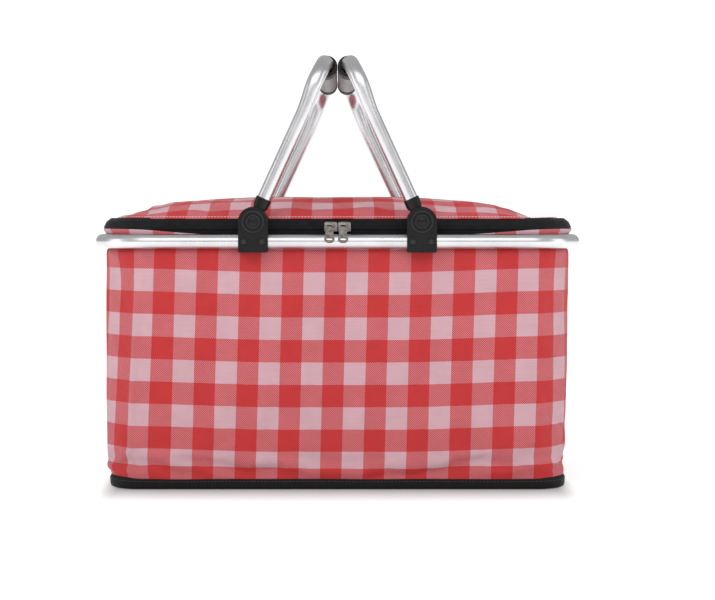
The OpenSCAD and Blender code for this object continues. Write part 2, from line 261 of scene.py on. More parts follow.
def outward(x, y, a, b, r):
    """Direction out of a rounded rectangle's outline. It is zero over the outline's inner rectangle."""
    qx = max(abs(x) - (a - r), 0)
    qy = max(abs(y) - (b - r), 0)
    return Vector((math.copysign(qx, x), math.copysign(qy, y), 0)).normalized()


def no_lift(x, y, up):
    return 0.0


def sweep(name, shape, marks, profile, closed=True, lift=no_lift):
    """Closed solid: a loop of (outward, up) points carried along a rounded rectangle, counter-clockwise
    where outward is right and up is up. lift(x, y, up) gives the height that a point is moved by."""
    rows = []
    for out, up in profile + [profile[0]]:
        row = []
        for s, f in marks:
            (x, y), (nx, ny) = rounded(s, f, **shape)
            row.append((x + nx * out, y + ny * out, up + lift(x, y, up)))
        rows.append(row)
    vs = [0.0]
    for p, q in zip(profile, profile[1:] + [profile[0]]):
        vs.append(vs[-1] + math.dist(p, q))
    return weld(grid(name, rows, arc_lengths(shape, marks, closed), vs, closed))


def edit(obj, work):
    """Runs work on a bmesh of the object."""
    bm = bmesh.new()
    bm.from_mesh(obj.data)
    work(bm)
    bm.to_mesh(obj.data)
    bm.free()
    obj.data.update()
    return obj


def weld(obj, distance=1e-6, cap=True):
    def work(bm):
        bmesh.ops.remove_doubles(bm, verts=bm.verts, dist=distance)
        if cap:
            bmesh.ops.holes_fill(bm, edges=[e for e in bm.edges if e.is_boundary], sides=0)
        bmesh.ops.recalc_face_normals(bm, faces=bm.faces)
    return edit(obj, work)


def assign(target, **values):
    for key, value in values.items():
        setattr(target, key, value)
    return target


def modify(obj, kind, **settings):
    return assign(obj.modifiers.new(kind.title(), kind), **settings)


def settle(obj):
    """Applies every modifier, so that the mesh is final."""
    graph = bpy.context.evaluated_depsgraph_get()
    mesh = bpy.data.meshes.new_from_object(obj.evaluated_get(graph))
    obj.modifiers.clear()
    obj.data = mesh
    return obj


def thicken(obj, thickness, offset, divide=False):
    """Gives a sheet its thickness, where asked after a round of subdivision, and applies both."""
    if divide:
        modify(obj, "SUBSURF", levels=1, render_levels=1)
    modify(obj, "SOLIDIFY", thickness=thickness, offset=offset)
    return settle(obj)


def join(name, objs):
    """One object from several, with their places kept."""
    target = objs[0]
    with bpy.context.temp_override(active_object=target, selected_editable_objects=objs):
        bpy.ops.object.join()
    target.name = target.data.name = name
    return target


def finish_piece(obj, material, body=None, replaces=()):
    obj.data.materials.clear()
    obj.data.materials.append(MATERIALS[material])
    if body:
        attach(obj, body)
    if replaces:
        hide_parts(*replaces)
    return obj


def coordinates(mesh):
    flat = np.empty(len(mesh.vertices) * 3)
    mesh.vertices.foreach_get("co", flat)
    return flat.reshape(-1, 3)


SIM_FRAMES = 14
STIFFNESS = 12.0


def drape(obj, held, cap, pressure, shrink, gravity=0.0):
    """Runs the cloth simulation on the piece and keeps its result, with each point's move capped.
    held(point) is 1 where the cloth is sewn down and 0 where it is free."""
    start = coordinates(obj.data)
    group = obj.vertex_groups.new(name="held")
    for v in obj.data.vertices:
        group.add([v.index], held(v.co), "REPLACE")
    cloth = modify(obj, "CLOTH")
    assign(cloth.settings, quality=6, mass=0.3, tension_stiffness=STIFFNESS, compression_stiffness=STIFFNESS,
           shear_stiffness=STIFFNESS / 3, bending_stiffness=0.6, vertex_group_mass="held", shrink_min=shrink,
           use_pressure=True, uniform_pressure_force=pressure)
    cloth.settings.effector_weights.gravity = gravity
    assign(cloth.point_cache, frame_start=1, frame_end=SIM_FRAMES)
    for frame_number in range(1, SIM_FRAMES + 1):
        bpy.context.scene.frame_set(frame_number)
    graph = bpy.context.evaluated_depsgraph_get()
    moved = coordinates(obj.evaluated_get(graph).data) - start
    obj.modifiers.clear()
    obj.vertex_groups.clear()
    bpy.context.scene.frame_set(1)
    length = np.linalg.norm(moved, axis=1, keepdims=True)
    moved *= cap * np.tanh(length / cap) / np.maximum(length, 1e-9)
    obj.data.vertices.foreach_set("co", (start + moved).ravel())
    obj.data.update()
    return obj


def rumple(x, y, z, scale, seed):
    """Smooth random value, about -1 to 1, with features about scale millimetres across."""
    scale *= MM
    return noise.noise(Vector((x / scale + seed, y / scale - 3 * seed, z / scale + 7 * seed)))


# ---- materials ----


class Nodes:
    """Short calls for building one material's node tree."""

    def __init__(self, name, roughness=0.5, metallic=0.0, sheen=0.0, specular=0.5):
        self.material = bpy.data.materials.new(name)
        self.material.use_nodes = True
        self.tree = self.material.node_tree
        self.shader = self.tree.nodes["Principled BSDF"]
        self.wire(self.shader, {"Roughness": roughness, "Metallic": metallic, "Sheen Weight": sheen,
                                "Specular IOR Level": specular})

    def add(self, kind, **settings):
        return assign(self.tree.nodes.new("ShaderNode" + kind), **settings)

    def wire(self, node, inputs):
        """Links or sets inputs, by name or number. None leaves an input as it is."""
        for key, value in inputs.items():
            if isinstance(value, bpy.types.NodeSocket):
                self.tree.links.new(value, node.inputs[key])
            elif value is not None:
                node.inputs[key].default_value = value
        return node

    def math(self, operation, *values):
        return self.wire(self.add("Math", operation=operation), dict(enumerate(values))).outputs[0]

    def mix(self, factor, a, b, blend="MIX"):
        node = self.add("Mix", data_type="RGBA", blend_type=blend)
        return self.wire(node, {"Factor": factor, "A": a, "B": b}).outputs["Result"]

    def stripe(self, value, edge, size):
        """1 on every other stripe of that size, starting at edge."""
        turns = self.math("DIVIDE", self.math("SUBTRACT", value, edge), 2 * size)
        return self.math("LESS_THAN", self.math("FRACT", turns), 0.5)

    def cloth(self):
        return self.add("UVMap", uv_map="cloth").outputs[0]

    def place(self):
        return self.add("TexCoord").outputs["Object"]

    def split(self, vector):
        return self.wire(self.add("SeparateXYZ"), {0: vector}).outputs[:2]

    def noise(self, scale, detail=3.0, stretch=None, rough=0.5):
        vector = self.place()
        if stretch:
            vector = self.wire(self.add("Mapping"), {"Vector": vector, "Scale": stretch}).outputs[0]
        node = self.wire(self.add("TexNoise"), {"Vector": vector, "Scale": scale, "Detail": detail,
                                                "Roughness": rough})
        return node.outputs["Fac"]

    def cells(self, scale):
        return self.wire(self.add("TexVoronoi"), {"Vector": self.place(), "Scale": scale}).outputs["Distance"]

    def remap(self, value, *limits):
        """Value between the first two limits, carried over to the last two."""
        return self.wire(self.add("MapRange"), dict(enumerate((value, *limits)))).outputs[0]

    def spread(self, noise, low, high):
        """Noise, which lies mostly between 0.3 and 0.7, spread over low to high."""
        return self.remap(noise, 0.3, 0.7, low, high)

    def shade(self, colour, factor):
        return self.mix(1.0, colour, factor, "MULTIPLY")

    def bump(self, height, distance, strength=1.0, under=None):
        """Normal for a height; distance is in millimetres."""
        node = self.wire(self.add("Bump"), {"Strength": strength, "Distance": distance * MM,
                                            "Height": height, "Normal": under})
        return node.outputs[0]

    def finish(self, colour=None, roughness=None, normal=None):
        self.wire(self.shader, {"Base Color": colour, "Roughness": roughness, "Normal": normal})
        return self.material


def weave(n, u, v, pitch):
    """Plain weave: (1 where the lengthwise yarn is on top, height of the yarn on top)."""
    over = n.math("ABSOLUTE", n.math("SUBTRACT", n.stripe(u, 0.0, pitch), n.stripe(v, 0.0, pitch)))
    warp = n.math("ABSOLUTE", n.math("SINE", n.math("MULTIPLY", u, math.pi / pitch)))
    weft = n.math("ABSOLUTE", n.math("SINE", n.math("MULTIPLY", v, math.pi / pitch)))
    return over, n.math("MULTIPLY", warp, weft)


GINGHAM_RED = (0.44, 0.025, 0.026, 1)
GINGHAM_WHITE = (0.515, 0.312, 0.350, 1)


def gingham():
    n = Nodes("gingham", roughness=0.55, sheen=0.04, specular=0.22)
    u, v = n.split(n.cloth())
    column = n.stripe(u, COLUMN_EDGE, SQUARE_U)
    row = n.math("SUBTRACT", 1.0, n.stripe(v, ROW_EDGE, SQUARE_V))
    over, height = weave(n, u, v, YARN)
    crossed = n.math("ABSOLUTE", n.math("SUBTRACT", column, row))
    red = n.math("ADD", n.math("MULTIPLY", over, column),
                 n.math("MULTIPLY", n.math("SUBTRACT", 1.0, over), row))
    red = n.math("MAXIMUM", red, n.math("MULTIPLY", crossed, 0.46))
    colour = n.mix(red, GINGHAM_WHITE, GINGHAM_RED)
    # Painted shade: the colour darkens in the low places between the yarns, where shade falls. Mottle and
    # slub are random tone.
    yarn_gap_shade = n.remap(height, 0.0, 0.7, 0.84, 1.03)
    mottle = n.spread(n.noise(60.0, 4.0), 0.96, 1.04)
    slub = n.spread(n.noise(1.0, 2.0, stretch=(40.0, 40.0, 900.0)), 0.97, 1.03)
    colour = n.shade(colour, n.math("MULTIPLY", n.math("MULTIPLY", yarn_gap_shade, mottle), slub))
    soft = n.bump(n.noise(38.0, 3.0), 0.8, 0.30)
    normal = n.bump(height, 0.12, 0.5, soft)
    return n.finish(colour, n.spread(n.noise(90.0), 0.50, 0.64), normal)


def black_cloth(name, pitch, colour, rib=False):
    n = Nodes(name, roughness=0.6, sheen=0.02, specular=0.14)
    u, v = n.split(n.cloth())
    over, height = weave(n, u, v, pitch)
    if rib:
        height = n.math("ABSOLUTE", n.math("SINE", n.math("MULTIPLY", u, math.pi / pitch)))
    # Painted shade and highlight: darker where the yarn or rib is low and lighter on its crowns, mixed with
    # random tone from the noise.
    shade = n.remap(n.math("ADD", height, n.noise(120.0, 4.0)), 0.4, 1.6, 0.6, 1.5)
    return n.finish(n.shade(colour, shade), n.spread(n.noise(150.0), 0.5, 0.7), n.bump(height, 0.15, 0.7))


def underside_cloth():
    """Woven look for the carried-over underside, laid out by its own place."""
    n = Nodes("black_fabric", roughness=0.6, sheen=0.06)
    x, y = n.split(n.place())
    over, height = weave(n, x, y, 0.8 * MM)
    # Painted shade and highlight: darker where the yarn is low and lighter on its crowns, mixed with random
    # tone from the noise.
    shade = n.remap(n.math("ADD", height, n.noise(140.0, 4.0)), 0.4, 1.6, 0.75, 1.2)
    return n.finish(n.shade((0.016, 0.016, 0.017, 1), shade), None, n.bump(height, 0.1, 0.6))


def aluminium():
    n = Nodes("aluminium", roughness=0.24, metallic=1.0)
    streaks = n.noise(60.0, 5.0, stretch=(0.6, 1.0, 0.6))
    cloud = n.noise(9.0, 2.0)
    colour = n.mix(n.spread(streaks, 0.0, 1.0), (0.61, 0.61, 0.625, 1), (0.73, 0.73, 0.745, 1))
    rough = n.remap(n.math("ADD", streaks, cloud), 0.6, 1.4, 0.22, 0.34)
    normal = n.bump(n.noise(22.0, 2.0), 0.4, 0.10)
    return n.finish(colour, rough, n.bump(n.noise(900.0, 2.0), 0.02, 0.2, normal))


def black_plastic(name, specular, dark, light):
    n = Nodes(name, roughness=0.30, specular=specular)
    grain = n.noise(1400.0, 2.0)
    patch = n.noise(70.0, 3.0)
    colour = n.mix(patch, dark, light)
    return n.finish(colour, n.spread(patch, 0.24, 0.36), n.bump(grain, 0.04, 0.3))


def foam_rubber(name, dark, light, sheen):
    n = Nodes(name, roughness=0.7, sheen=sheen, specular=0.4)
    colour = n.mix(n.noise(200.0, 3.0), dark, light)
    return n.finish(colour, n.spread(n.noise(300.0), 0.5, 0.8), n.bump(n.cells(1300.0), 0.15, 0.6))


def nickel():
    n = Nodes("nickel", roughness=0.34, metallic=1.0)
    worn = n.noise(420.0, 4.0)
    colour = n.mix(n.remap(worn, 0.35, 0.65, 0.0, 1.0), (0.20, 0.18, 0.17, 1), (0.42, 0.385, 0.36, 1))
    return n.finish(colour, n.spread(worn, 0.26, 0.45), n.bump(worn, 0.05, 0.3))


def foil():
    n = Nodes("foil_liner", roughness=0.3, metallic=0.9)
    fine = n.noise(160.0, 6.0, rough=0.7)
    height = n.math("ADD", n.math("MULTIPLY", n.cells(75.0), 0.7), fine)
    colour = n.mix(fine, (0.62, 0.64, 0.66, 1), (0.84, 0.85, 0.86, 1))
    return n.finish(colour, n.spread(fine, 0.22, 0.42), n.bump(height, 0.9, 0.5))


def hardboard():
    n = Nodes("base_board", roughness=0.7)
    fibre = n.noise(60.0, 6.0, stretch=(1.0, 6.0, 1.0))
    colour = n.mix(fibre, (0.17, 0.12, 0.08, 1), (0.32, 0.24, 0.17, 1))
    return n.finish(colour, None, n.bump(fibre, 0.1, 0.4))


def thread(name, dark, light):
    n = Nodes(name, roughness=0.6, sheen=0.2)
    ply = n.noise(1500.0, 2.0)
    return n.finish(n.mix(ply, dark, light), None, n.bump(ply, 0.05, 0.5))


MATERIALS = {
    "gingham": gingham(),
    "binding": black_cloth("black_binding", 1.1 * MM, (0.0075, 0.0065, 0.0068, 1), rib=True),
    "tape": black_cloth("zip_tape", 0.6 * MM, (0.0075, 0.0080, 0.0090, 1)),
    "underside": underside_cloth(),
    "aluminium": aluminium(),
    "plastic": black_plastic("black_plastic", 0.25, (0.0035, 0.0032, 0.0040, 1), (0.0070, 0.0066, 0.0078, 1)),
    # Rings and rivet domes: a glossier copy of the black plastic, with its base painted lighter than the
    # covers' so that they read as lit.
    "trim": black_plastic("trim_plastic_painted_lighter", 0.45, (0.0050, 0.0046, 0.0056, 1), (0.0095, 0.0090, 0.0104, 1)),
    "grip": foam_rubber("foam_grip", (0.050, 0.048, 0.050, 1), (0.095, 0.092, 0.095, 1), 0.35),
    "grip_cap": foam_rubber("grip_cap", (0.004, 0.004, 0.005, 1), (0.009, 0.009, 0.010, 1), 0.0),
    "nickel": nickel(),
    "foil": foil(),
    "board": hardboard(),
    "coil": thread("zip_coil", (0.008, 0.008, 0.009, 1), (0.020, 0.020, 0.021, 1)),
    "pale_thread": thread("pale_thread", (0.55, 0.40, 0.43, 1), (0.80, 0.66, 0.69, 1)),
    "black_thread": thread("black_thread", (0.006, 0.006, 0.006, 1), (0.012, 0.012, 0.012, 1)),
}

# ---- stage ----


def add_camera():
    data = bpy.data.cameras.new("camera")
    data.sensor_width = SENSOR
    data.lens = FOCAL_PX / FRAME_PX * SENSOR
    data.shift_x = SHIFT_PX[0] / FRAME_PX
    data.shift_y = SHIFT_PX[1] / FRAME_PX
    camera = bpy.data.objects.new("camera", data)
    bpy.context.scene.collection.objects.link(camera)
    camera.location = (0.0, -CAMERA_DISTANCE, CAMERA_HEIGHT)
    camera.rotation_euler = (math.radians(90), 0, 0)
    bpy.context.scene.camera = camera


def add_area(name, place, size, power, target=(0, 0, 0.2), glossy=True):
    """Soft light. One that isn't glossy lights cloth but makes no reflections."""
    data = bpy.data.lights.new(name, "AREA")
    assign(data, shape="RECTANGLE", size=size[0], size_y=size[1], energy=power)
    light = bpy.data.objects.new(name, data)
    bpy.context.scene.collection.objects.link(light)
    light.location = place
    light.visible_glossy = glossy
    light.rotation_euler = (Vector(target) - Vector(place)).to_track_quat("-Z", "Y").to_euler()


def add_world():
    """White where the camera sees it; light and reflections come from a softer grey surround."""
    world = bpy.data.worlds.new("studio")
    bpy.context.scene.world = world
    world.use_nodes = True
    tree = world.node_tree
    surround = tree.nodes["Background"]
    backdrop = tree.nodes.new("ShaderNodeBackground")
    for shader, strength in ((surround, 0.50), (backdrop, 1.1)):
        shader.inputs["Color"].default_value = (1, 1, 1, 1)
        shader.inputs["Strength"].default_value = strength
    rays = tree.nodes.new("ShaderNodeLightPath")
    mixer = tree.nodes.new("ShaderNodeMixShader")
    tree.links.new(rays.outputs["Is Camera Ray"], mixer.inputs[0])
    tree.links.new(surround.outputs[0], mixer.inputs[1])
    tree.links.new(backdrop.outputs[0], mixer.inputs[2])
    tree.links.new(mixer.outputs[0], tree.nodes["World Output"].inputs["Surface"])


def lit_floor():
    """White floor with a glow of its own, which fades out under the basket to paint a contact shadow."""
    n = Nodes("floor_white", roughness=0.9, specular=0.1)
    under = 14 * MM
    squares = []
    for place, half, narrow in zip(n.split(n.place()), (BINDING_HIGH.x, BINDING_HIGH.y), (3.5, 1.0)):
        out = n.math("SUBTRACT", n.math("ABSOLUTE", place), half - under)
        out = n.math("MULTIPLY", n.math("MAXIMUM", out, 0.0), narrow)
        squares.append(n.math("MULTIPLY", out, out))
    gap = n.math("SQRT", n.math("ADD", *squares))
    # Painted contact shadow: the glow is almost nothing next to the basket's footprint and rises over 75 mm
    # away from it. Further out it grows brighter still.
    near = n.remap(gap, under, 75 * MM, 0.03, 0.66)
    far = n.remap(gap, 0.10, 0.9, 0.0, 0.25)
    n.wire(n.shader, {"Emission Color": (1, 1, 1, 1), "Emission Strength": n.math("ADD", near, far)})
    return n.finish((0.45, 0.45, 0.45, 1))


def add_stage():
    bpy.context.scene.view_settings.view_transform = "Standard"
    add_world()
    floor = piece("floor", [(-20, -20, 0), (20, -20, 0), (20, 40, 0), (-20, 40, 0)], [(0, 1, 2, 3)])
    floor.data.materials.append(lit_floor())
    add_area("key", (-1.3, -1.7, 1.7), (1.2, 1.2), 17.5, glossy=False)
    add_area("fill", (1.7, -1.5, 1.1), (1.4, 1.4), 10.0, glossy=False)
    add_area("top", (0.0, 0.6, 2.1), (2.4, 1.4), 16.0, glossy=False)
    add_area("over", (0.0, -1.75, 1.50), (2.6, 1.4), 15.0)
    add_area("left_strip", (-2.0, -0.55, 0.6), (0.8, 1.4), 4.4, target=(0, 0, 0.3))
    add_area("right_strip", (2.0, -0.55, 0.6), (0.8, 1.4), 4.4, target=(0, 0, 0.3))


# ---- basket fabric ----

FABRIC = 1.0 * MM
THIN_FABRIC = 0.8 * MM
# The wall is tucked in behind the hoop from this height on, over this much
TUCK_LOW = RIM_Z - TUBE_R - 3 * MM
TUCK = 8.0 * MM
# How far the wall bellies out at the left end
BELLY = 3.4 * MM
# The cloth sags by this much at the middle of a long side, and is gathered below this height
SAG = 3.9 * MM
GATHER_Z = 37.5 * MM

# How flat each corner is drawn, from 0, a true arc, to 1, a chord, between these shares of its length
CORNER_FLAT = {1: 0.30, 3: 0.75, 5: 0.35, 7: 0.40}
FLAT_FROM, FLAT_TO = 0.12, 0.88

# Folds in the walls: both ends as (distance round from the middle of the front, height), height of the
# ridge, and its width, in millimetres
FOLDS = [
    (-196, 14, -198, 226, 1.5, 4.0), (-232, 14, -229, 226, 1.0, 5.0), (-232, 16, -192, 42, 2.6, 4.0),
    (-222, 10, -196, 26, -1.5, 4.0), (-205, 60, -196, 20, -1.2, 5.0), (197, 14, 200, 226, 0.9, 5.0),
    (236, 40, 205, 12, 1.6, 6.0),
    (-150, 226, -120, 190, -0.9, 8.0), (-40, 226, -60, 180, 0.7, 9.0), (70, 226, 96, 184, -0.8, 9.0),
    (150, 226, 170, 180, 0.8, 9.0), (-90, 14, -60, 40, 0.8, 9.0), (60, 14, 110, 34, 0.8, 10.0),
    (-300, 14, -330, 90, 1.4, 9.0), (-420, 20, -400, 220, 1.0, 7.0), (300, 14, 336, 100, 1.3, 9.0),
    (416, 20, 404, 220, 1.2, 7.0), (-560, 20, -520, 120, 1.0, 11.0), (570, 30, 520, 130, 1.1, 11.0),
]


def wall_shape(z):
    """Outline of the wall at a height: tapered, and drawn in behind the rim tube at the top."""
    t = min(max((z - WALL_Z0) / (WALL_Z1 - WALL_Z0), 0.0), 1.0)
    tuck = ramp(z, TUCK_LOW, TUCK_LOW + TUCK)
    return {k: lerp(lerp(WALL_BASE[k], WALL_TOP[k], t), COLLAR[k] + 0.4 * MM, tuck) for k in "abr"}


def wall_rows(heights, marks, us, inset=0.0, rough=1.0):
    """Points of a wall layer. Corners are drawn flat, and folds and slack lie between base and rim."""
    rows = []
    for z in heights:
        shape = {k: v - inset for k, v in wall_shape(z).items()}
        free = ramp(z, WALL_Z0, WALL_Z0 + 22 * MM) * ramp(z, TUCK_LOW, TUCK_LOW - 18 * MM)
        row = []
        for (s, f), u in zip(marks, us):
            (x, y), (nx, ny) = rounded(s, f, **shape)
            if s in CORNER_FLAT and FLAT_FROM < f < FLAT_TO:
                p, q = rounded(s, FLAT_FROM, **shape)[0], rounded(s, FLAT_TO, **shape)[0]
                t = (f - FLAT_FROM) / (FLAT_TO - FLAT_FROM)
                w = CORNER_FLAT[s] * (0.25 + 0.75 * free)
                x, y = lerp(x, lerp(p[0], q[0], t), w), lerp(y, lerp(p[1], q[1], t), w)
            slack = 1.5 * rumple(x, y, z, 70, 1.7) + 0.6 * rumple(x, y, z, 26, 4.1)
            out = rough * free * (slack * MM + ridges(FOLDS, u, z))
            belly = rough * BELLY * ramp_mm(-x, 150, 215) * ramp_mm(z, 190, 50)
            belly *= ramp(z, WALL_Z0, WALL_Z0 + 9 * MM)
            row.append((x + nx * out - belly, y + ny * out, z))
        rows.append(row)
    return rows


def squash_to_base(obj):
    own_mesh(obj)


def add_walls():
    z0 = WALL_Z0 - 4 * MM
    z1 = RIM_Z - 2.0 * MM
    heights = list(np.linspace(z0, z1, 70))
    marks = stations(WALL_TOP, 4.0, corner_step=2.8)
    us = arc_lengths(wall_shape((z0 + z1) / 2), marks)
    sag = [SAG * ramp_mm(abs(u), 215, 50) for u in us]
    cloth_u = [[u - WEAVE_LEAN * (z - LEAN_Z) for u in arc_lengths(wall_shape(min(z, WALL_Z1)), marks)]
               for z in heights]
    gather = [0.3 * max(0.0, GATHER_Z - z) for z in heights]
    cloth_v = [[z + s - g for s in sag] for z, g in zip(heights, gather)]
    wall = grid("wall_fabric", wall_rows(heights, marks, us), cloth_u, cloth_v)
    drape(wall, lambda p: 1.0 if p.z < WALL_Z0 + 2 * MM or p.z > TUCK_LOW else 0.12, 2.4 * MM,
          pressure=0.15, shrink=-0.012, gravity=0.1)
    thicken(wall, FABRIC, -1.0)
    finish_piece(wall, "gingham", "base", ["wall_outer"])
    squash_to_base(wall)


def add_wall_lining():
    heights = list(np.linspace(WALL_Z0, WALL_Z1, 34))
    marks = stations(WALL_TOP, 9, corner_step=6)
    us = arc_lengths(WALL_TOP, marks)
    rows = wall_rows(heights, marks, us, inset=LINER_IN, rough=0.0)
    wrinkled = []
    for row in rows:
        wrinkled.append([(x * (0.994 + 0.004 * rumple(x, y, z, 24, 2.0)),
                          y * (0.990 + 0.008 * rumple(x, y, z, 30, 5.0)), z) for x, y, z in row])
    lining = grid("wall_lining", wrinkled, us, heights)
    thicken(lining, 2.2 * MM, 1.0, divide=True)
    finish_piece(lining, "foil", "base", ["wall_insulation", "wall_liner"])
    squash_to_base(lining)


def add_floor_lining():
    high = top("floor_liner")

    def place(s, t):
        x, y = corner_plan(s, t, high.x, high.y, 22 * MM)
        edge = min(high.x - abs(x), high.y - abs(y))
        rise = 0.35 * MM * (1 + rumple(x, y, 0, 22, 8.0)) * ramp(edge, 0.0, 12 * MM)
        return x, y, high.z + rise

    lining = sheet("floor_lining", 64, 36, place)
    thicken(lining, high.z - foot("floor_insulation").z, -1.0)
    finish_piece(lining, "foil", "base", ["floor_liner", "floor_insulation"])


def add_binding():
    shape = {"a": BINDING_HIGH.x - 3 * MM, "b": BINDING_HIGH.y - 3 * MM, "r": 28 * MM}
    marks = stations(shape, 5, corner_step=3)
    profile = [(-3.5 * MM, 0.0)]
    for k in range(9):
        t = math.pi * (k / 8 - 0.5)
        full = 0.35 if t < 0 else 0.8
        profile.append((3.0 * MM * math.cos(t) ** full - 0.2 * MM, 5.6 * MM + 5.5 * MM * math.sin(t)))
    profile.append((-3.5 * MM, 11.0 * MM))

    def wave(x, y, up):
        return 0.7 * MM * rumple(x, y, 0, 60, 9.0) * ramp_mm(up, 3, 10)

    binding = sweep("binding", shape, marks, profile, lift=wave)
    finish_piece(binding, "binding", "base", ["bottom_binding"])
    seam = sewn_line("binding_stitches", shape, marks, 2.85 * MM, 7.6 * MM, 3.4 * MM, 0.28 * MM, lift=wave)
    finish_piece(seam, "black_thread", "base")


# ---- stitches, teeth and other small repeated parts ----


def walk(shape, marks, step, closed=True):
    """Places step apart along an outline: (point, outward normal, direction), for a whole number of steps."""
    points = [rounded(s, f, **shape) for s, f in marks]
    if closed:
        points.append(points[0])
    lengths = [0.0]
    for (p, _), (q, _) in zip(points, points[1:]):
        lengths.append(lengths[-1] + math.dist(p, q))
    count = max(1, round(lengths[-1] / step))
    found, k = [], 0
    for i in range(count):
        target = (i + 0.5) * lengths[-1] / count
        while lengths[k + 1] < target:
            k += 1
        t = (target - lengths[k]) / (lengths[k + 1] - lengths[k])
        (p, m), (q, n) = points[k], points[k + 1]
        normal = Vector((lerp(m[0], n[0], t), lerp(m[1], n[1], t))).normalized()
        found.append(((lerp(p[0], q[0], t), lerp(p[1], q[1], t)), normal, Vector((-normal.y, normal.x))))
    return found


def capsule(length, radius, sides=6):
    """Points and faces of one stitch or tooth along X, narrower at its ends."""
    points, faces = [], []
    for x, r in ((-0.5, 0.35), (-0.38, 0.9), (0.0, 1.0), (0.38, 0.9), (0.5, 0.35)):
        points += [(x * length, r * radius * across, r * radius * up) for across, up in circle(sides)]
    for i in range(4):
        for k in range(sides):
            m = (k + 1) % sides
            faces.append((i * sides + k, i * sides + m, (i + 1) * sides + m, (i + 1) * sides + k))
    faces.append(tuple(range(sides)))
    faces.append(tuple(4 * sides + k for k in reversed(range(sides))))
    return points, faces


def scatter(name, shape_points, shape_faces, places):
    """One mesh of copies. Each place is (origin, x axis, y axis, z axis)."""
    points, faces = [], []
    for origin, ax, ay, az in places:
        base = len(points)
        points += [origin + ax * p[0] + ay * p[1] + az * p[2] for p in shape_points]
        faces += [tuple(base + i for i in face) for face in shape_faces]
    obj = piece(name, points, faces)
    return weld(obj, 1e-9, cap=False)


def sewn_line(name, shape, marks, out, up, pitch, radius, closed=True, lift=no_lift):
    """Row of stitches along an outline, out and up from it."""
    points, faces = capsule(0.72 * pitch, radius)
    places = []
    for (x, y), normal, along in walk(shape, marks, pitch, closed):
        origin = Vector((x + normal.x * out, y + normal.y * out, up + lift(x, y, up)))
        ax = Vector((along.x, along.y, 0)).normalized()
        ay = Vector((normal.x, normal.y, 0))
        places.append((origin, ax, ay, ax.cross(ay)))
    return scatter(name, points, faces, places)


# ---- collar, hinge and zip ----


# How far the band rises and leans out at the basket's ends, and the height of the zip's fold
BAND_LIFT = 6.7 * MM
BAND_LEAN = 8.8 * MM
FOLD_Z = ZIP_Z + 2.3 * MM


def at_ends(x, start=150 * MM, end=222 * MM):
    """1 at the basket's ends and 0 along the middle of its front and rear."""
    return ramp(abs(x), start, end)


def flare(obj):
    """Leans the band outwards at the basket's ends, most of all low down, above the hoop."""
    for v in obj.data.vertices:
        p = v.co
        above = max(0.0, (p.z - FOLD_Z) / (HEM_Z - FOLD_Z))
        lean = ramp(p.z, RIM_Z + 2 * MM, RIM_Z + 8.5 * MM) * (1 - 0.75 * min(above, 1.0) ** 2)
        v.co += outward(p.x, p.y, **COLLAR) * (BAND_LEAN * at_ends(p.x) * lean)
    return obj


ZIP_MARKS = stations(COLLAR, 5, first=2, last=6, corner_step=3, closed=False)
ALL_MARKS = stations(COLLAR, 5, corner_step=3)


def add_collar():
    """Gingham band inside the hoop. It stands higher at the ends, in front of the zip's lower tape."""
    bottom = COLLAR_Z0 + 1.5 * MM
    crest = COLLAR_Z1 + 0.6 * MM
    profile = [(-0.9 * MM, bottom), (0.2 * MM, bottom), (0.3 * MM, lerp(bottom, crest, 0.33)),
               (0.2 * MM, lerp(bottom, crest, 0.66)), (0.2 * MM, crest - 1.2 * MM),
               (-0.1 * MM, crest - 0.3 * MM), (-0.5 * MM, crest), (-0.9 * MM, crest - 0.4 * MM),
               (-0.9 * MM, lerp(bottom, crest, 0.5))]

    def lift(x, y, up):
        share = (up - bottom) / (crest - bottom)
        rise = BAND_LIFT * at_ends(x, 105 * MM, 218 * MM)
        return share * (rise + 0.3 * MM * rumple(x, y, 0, 40, 6.0))

    collar = sweep("collar_fabric", COLLAR, ALL_MARKS, profile, lift=lift)
    lay_cloth(collar, lambda p: (round_front(p), p.z))
    flare(collar)
    finish_piece(collar, "gingham", "rim", ["collar_outer"])


def round_front(p):
    """Distance round the collar from the middle of the front, for a point near the collar."""
    a, b, r = COLLAR["a"], COLLAR["b"], COLLAR["r"]
    side = 1 if p.x > 0 else -1
    x, y = abs(p.x), p.y
    arc = r * math.pi / 2
    if y < r - b:
        if x < a - r:
            return side * x
        return side * (a - r + r * math.atan2(x - (a - r), (r - b) - y))
    if y < b - r:
        return side * (a - r + arc + y + b - r)
    if x > a - r:
        return side * (a - r + arc + 2 * (b - r) + r * math.atan2(y - (b - r), x - (a - r)))
    return side * (2 * (a - r) + 2 * arc + 2 * (b - r) - x)


def add_collar_lining():
    top_z = top("collar_liner").z
    inner = COLLAR_LINER_IN + 0.6 * MM
    profile = [(-inner, COLLAR_Z0), (-2.4 * MM, COLLAR_Z0), (-2.4 * MM, top_z - 1.0 * MM),
               (-3.2 * MM, top_z - 0.2 * MM), (-inner + 1.0 * MM, top_z), (-inner, top_z - 0.9 * MM)]

    def lift(x, y, up):
        return 0.25 * MM * rumple(x, y, 0, 20, 3.0) if up > top_z - 2 * MM else 0.0

    lining = sweep("collar_lining", COLLAR, ALL_MARKS, profile, lift=lift)
    finish_piece(lining, "foil", "rim", ["collar_insulation", "collar_liner"])


